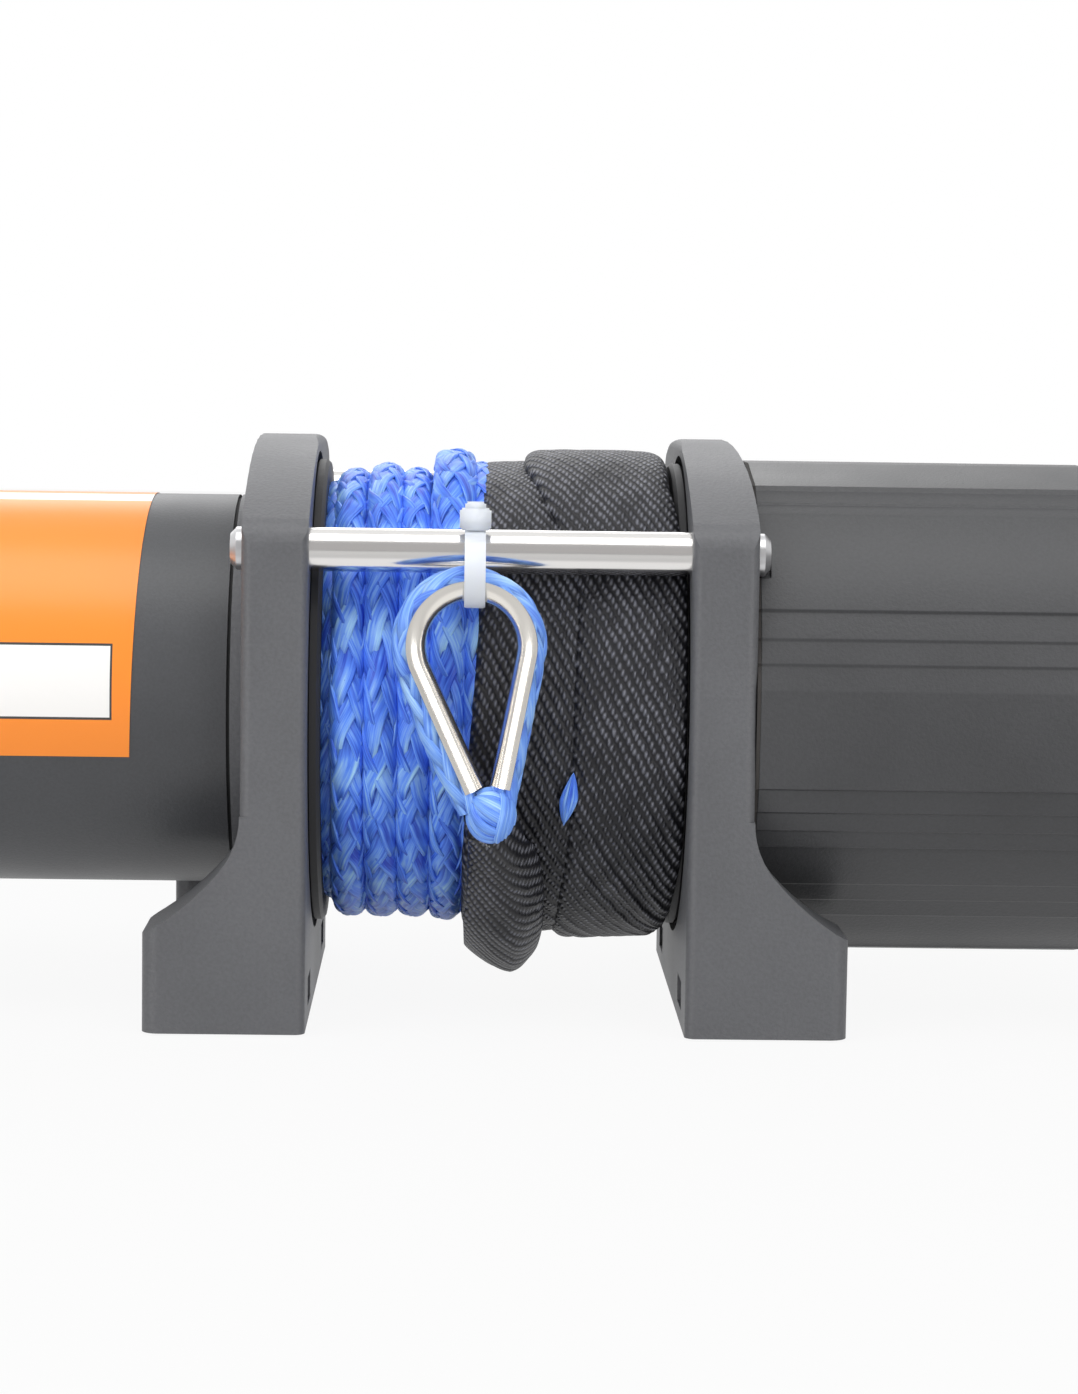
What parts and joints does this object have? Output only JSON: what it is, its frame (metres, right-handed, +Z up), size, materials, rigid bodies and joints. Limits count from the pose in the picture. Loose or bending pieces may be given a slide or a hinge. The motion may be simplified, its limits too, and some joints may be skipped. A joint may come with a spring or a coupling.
{
  "type": "electric recovery winch",
  "caption": "Compact electric recovery winch: finned gear case, charcoal cast end supports, grey motor, blue synthetic rope partly under a black sleeve, steel thimble tied to the bar.",
  "frame": {"origin": "middle of the four mounting bolts, on the underside of the feet", "axes": "x along the drum from the motor to the gear case, y away from the side where the rope leaves, z up"},
  "size_m": [0.3515, 0.1328, 0.1346],
  "materials": {
    "painted_cast": "semi-gloss charcoal powder coat over cast aluminium",
    "painted_case": "satin dark bronze grey powder coat over cast aluminium",
    "painted_steel": "satin grey paint over steel tube",
    "label_print": "bare orange film label without lettering",
    "zinc_steel": "bright zinc plated steel",
    "black_steel": "black oxide steel",
    "gear_steel": "machined, oiled gear steel",
    "laminations": "varnished steel laminations",
    "magnet_ferrite": "sintered ferrite",
    "copper": "enamelled and bare copper",
    "brass_fittings": "yellow passivated steel and sintered bronze",
    "nylon": "natural nylon",
    "black_plastic": "moulded black plastic",
    "seal_rubber": "black rubber seal",
    "blue_rope": "blue braided synthetic rope, slightly glossy fibre",
    "rope_sleeve": "black woven tubular sleeve",
    "thimble_steel": "galvanised pressed steel",
    "friction": "moulded brake lining"
  },
  "bodies": {
    "frame": {"motor_end_support": "painted_cast", "gear_end_support": "painted_cast", "front_tie_bar": "zinc_steel", "rear_tie_bar": "zinc_steel", "tie_bar_screws": "zinc_steel", "mounting_nuts": "zinc_steel", "motor_side_bush": "nylon", "gear_side_bush": "nylon", "motor_seal": "seal_rubber", "motor_can": "painted_steel", "motor_label": "label_print", "field_magnets": "magnet_ferrite", "motor_end_cap": "painted_case", "motor_bolts": "zinc_steel", "front_bearing": "zinc_steel", "rear_bush": "brass_fittings", "brush_holder": "black_plastic", "carbon_brushes": "copper", "brush_springs": "zinc_steel", "terminal_studs": "brass_fittings", "terminal_washers": "black_plastic", "terminal_nuts": "brass_fittings", "case_gasket": "seal_rubber", "gear_case": "painted_case", "ring_gear": "gear_steel", "gear_end_cover": "painted_case", "cover_bolts": "zinc_steel", "tail_sleeve": "rope_sleeve", "rope_eye": "blue_rope", "thimble": "thimble_steel", "cable_tie": "nylon"},
    "drum_body": {"drum": "black_steel", "blue_rope_wraps": "blue_rope", "sleeved_wraps": "rope_sleeve", "rope_set_screw": "black_steel", "output_carrier": "gear_steel"},
    "drive_body": {"armature_shaft": "gear_steel", "armature_core": "laminations", "armature_windings": "copper", "commutator": "copper", "shaft_coupling": "black_steel", "hex_drive_shaft": "gear_steel", "input_sun_gear": "gear_steel", "brake_hub": "black_steel", "brake_shoes": "friction", "brake_spring": "zinc_steel"},
    "second_carrier_body": {"second_carrier": "gear_steel"},
    "first_carrier_body": {"first_carrier": "gear_steel"},
    "slider_body": {"clutch_slider": "gear_steel"},
    "knob_body": {"clutch_knob": "black_plastic"},
    "first_planet_a_body": {"first_planet_a": "gear_steel"},
    "first_planet_b_body": {"first_planet_b": "gear_steel"},
    "first_planet_c_body": {"first_planet_c": "gear_steel"},
    "second_planet_a_body": {"second_planet_a": "gear_steel"},
    "second_planet_b_body": {"second_planet_b": "gear_steel"},
    "second_planet_c_body": {"second_planet_c": "gear_steel"},
    "output_planet_a_body": {"output_planet_a": "gear_steel"},
    "output_planet_b_body": {"output_planet_b": "gear_steel"},
    "output_planet_c_body": {"output_planet_c": "gear_steel"}
  },
  "joints": [
    {"name": "drum_spin", "type": "hinge", "parent": "frame", "child": "drum_body", "pos_m": [0, 0, 0.0733], "axis": [1, 0, 0], "continuous": true},
    {"name": "drive_spin", "type": "hinge", "parent": "frame", "child": "drive_body", "pos_m": [0, 0, 0.0733], "axis": [1, 0, 0], "continuous": true},
    {"name": "second_carrier_spin", "type": "hinge", "parent": "frame", "child": "second_carrier_body", "pos_m": [0, 0, 0.0733], "axis": [1, 0, 0], "continuous": true},
    {"name": "first_carrier_spin", "type": "hinge", "parent": "frame", "child": "first_carrier_body", "pos_m": [0, 0, 0.0733], "axis": [1, 0, 0], "continuous": true},
    {"name": "first_planet_a_spin", "type": "hinge", "parent": "first_carrier_body", "child": "first_planet_a_body", "pos_m": [0, 0, 0.0463], "axis": [1, 0, 0], "continuous": true},
    {"name": "first_planet_b_spin", "type": "hinge", "parent": "first_carrier_body", "child": "first_planet_b_body", "pos_m": [0, 0.02338, 0.0868], "axis": [1, 0, 0], "continuous": true},
    {"name": "first_planet_c_spin", "type": "hinge", "parent": "first_carrier_body", "child": "first_planet_c_body", "pos_m": [0, -0.02338, 0.0868], "axis": [1, 0, 0], "continuous": true},
    {"name": "second_planet_a_spin", "type": "hinge", "parent": "second_carrier_body", "child": "second_planet_a_body", "pos_m": [0, 0, 0.0463], "axis": [1, 0, 0], "continuous": true},
    {"name": "second_planet_b_spin", "type": "hinge", "parent": "second_carrier_body", "child": "second_planet_b_body", "pos_m": [0, 0.02338, 0.0868], "axis": [1, 0, 0], "continuous": true},
    {"name": "second_planet_c_spin", "type": "hinge", "parent": "second_carrier_body", "child": "second_planet_c_body", "pos_m": [0, -0.02338, 0.0868], "axis": [1, 0, 0], "continuous": true},
    {"name": "output_planet_a_spin", "type": "hinge", "parent": "drum_body", "child": "output_planet_a_body", "pos_m": [0, 0, 0.04405], "axis": [1, 0, 0], "continuous": true},
    {"name": "output_planet_b_spin", "type": "hinge", "parent": "drum_body", "child": "output_planet_b_body", "pos_m": [0, 0.02533, 0.08793], "axis": [1, 0, 0], "continuous": true},
    {"name": "output_planet_c_spin", "type": "hinge", "parent": "drum_body", "child": "output_planet_c_body", "pos_m": [0, -0.02533, 0.08793], "axis": [1, 0, 0], "continuous": true},
    {"name": "clutch_turn", "type": "hinge", "parent": "frame", "child": "knob_body", "pos_m": [0, 0, 0.0733], "axis": [1, 0, 0], "range_deg": [0, 90]},
    {"name": "clutch_slide", "type": "slide", "parent": "frame", "child": "slider_body", "axis": [1, 0, 0], "range_m": [0, 0.005]}
  ],
  "couplings": [
    {"joint": "drive_spin", "follows": "drum_spin", "ratio": 156},
    {"joint": "second_carrier_spin", "follows": "drum_spin", "ratio": 4.3333},
    {"joint": "first_carrier_spin", "follows": "drum_spin", "ratio": 26},
    {"joint": "first_planet_a_spin", "follows": "drum_spin", "ratio": -65},
    {"joint": "first_planet_b_spin", "follows": "drum_spin", "ratio": -65},
    {"joint": "first_planet_c_spin", "follows": "drum_spin", "ratio": -65},
    {"joint": "second_planet_a_spin", "follows": "drum_spin", "ratio": -10.833},
    {"joint": "second_planet_b_spin", "follows": "drum_spin", "ratio": -10.833},
    {"joint": "second_planet_c_spin", "follows": "drum_spin", "ratio": -10.833},
    {"joint": "output_planet_a_spin", "follows": "drum_spin", "ratio": -2.8571},
    {"joint": "output_planet_b_spin", "follows": "drum_spin", "ratio": -2.8571},
    {"joint": "output_planet_c_spin", "follows": "drum_spin", "ratio": -2.8571},
    {"joint": "clutch_turn", "follows": "clutch_slide", "rad_per_m": 314.16}
  ]
}
